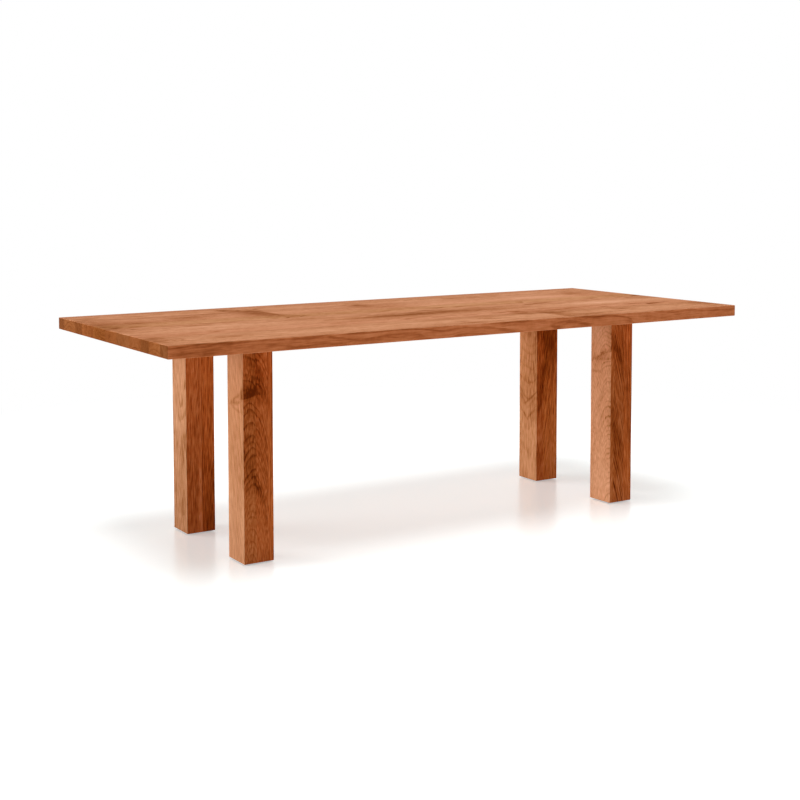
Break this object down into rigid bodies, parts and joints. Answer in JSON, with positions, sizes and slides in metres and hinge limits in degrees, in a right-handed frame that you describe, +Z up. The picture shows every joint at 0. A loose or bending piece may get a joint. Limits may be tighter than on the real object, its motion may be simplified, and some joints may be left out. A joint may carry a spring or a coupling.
{
  "type": "dining table",
  "caption": "Solid-wood dining table: edge-glued plank top overhanging heavy laminated square legs, held by steel plates let into the underside, with no apron.",
  "frame": {"origin": "on the floor, under the middle of the top", "axes": "+X along the length of the top, +Y towards the back, +Z up"},
  "size_m": [2.4, 1, 0.78],
  "materials": {
    "top_wood": "satin oil",
    "leg_wood": "satin oil",
    "blackened_steel": "satin black powder coat",
    "zinc_fastener": "bright zinc plate",
    "brass_insert": "plain turned",
    "glide_plastic": "fine matte"
  },
  "bodies": {
    "root": {"glide_back_left": "glide_plastic", "glide_back_right": "glide_plastic", "glide_front_left": "glide_plastic", "glide_front_right": "glide_plastic", "glide_screws": "zinc_fastener", "leg_back_left_lamella_1": "leg_wood", "leg_back_left_lamella_2": "leg_wood", "leg_back_right_lamella_1": "leg_wood", "leg_back_right_lamella_2": "leg_wood", "leg_back_right_lamella_3": "leg_wood", "leg_front_left_lamella_1": "leg_wood", "leg_front_left_lamella_2": "leg_wood", "leg_front_left_lamella_3": "leg_wood", "leg_front_right_lamella_1": "leg_wood", "leg_front_right_lamella_2": "leg_wood", "leg_front_right_lamella_3": "leg_wood", "leg_plate_back_left": "blackened_steel", "leg_plate_back_right": "blackened_steel", "leg_plate_front_left": "blackened_steel", "leg_plate_front_right": "blackened_steel", "leg_plate_screws": "zinc_fastener", "plate_bolts": "zinc_fastener", "plate_washers": "zinc_fastener", "stiffener_left": "blackened_steel", "stiffener_middle": "blackened_steel", "stiffener_right": "blackened_steel", "stiffener_screws": "zinc_fastener", "stiffener_washers": "zinc_fastener", "threaded_inserts": "brass_insert", "top_stave_01": "top_wood", "top_stave_02": "top_wood", "top_stave_03": "top_wood", "top_stave_04": "top_wood", "top_stave_05": "top_wood", "top_stave_06": "top_wood", "top_stave_07": "top_wood", "top_stave_08": "top_wood", "top_stave_09": "top_wood", "top_stave_10": "top_wood", "top_stave_11": "top_wood"}
  },
  "joints": []
}
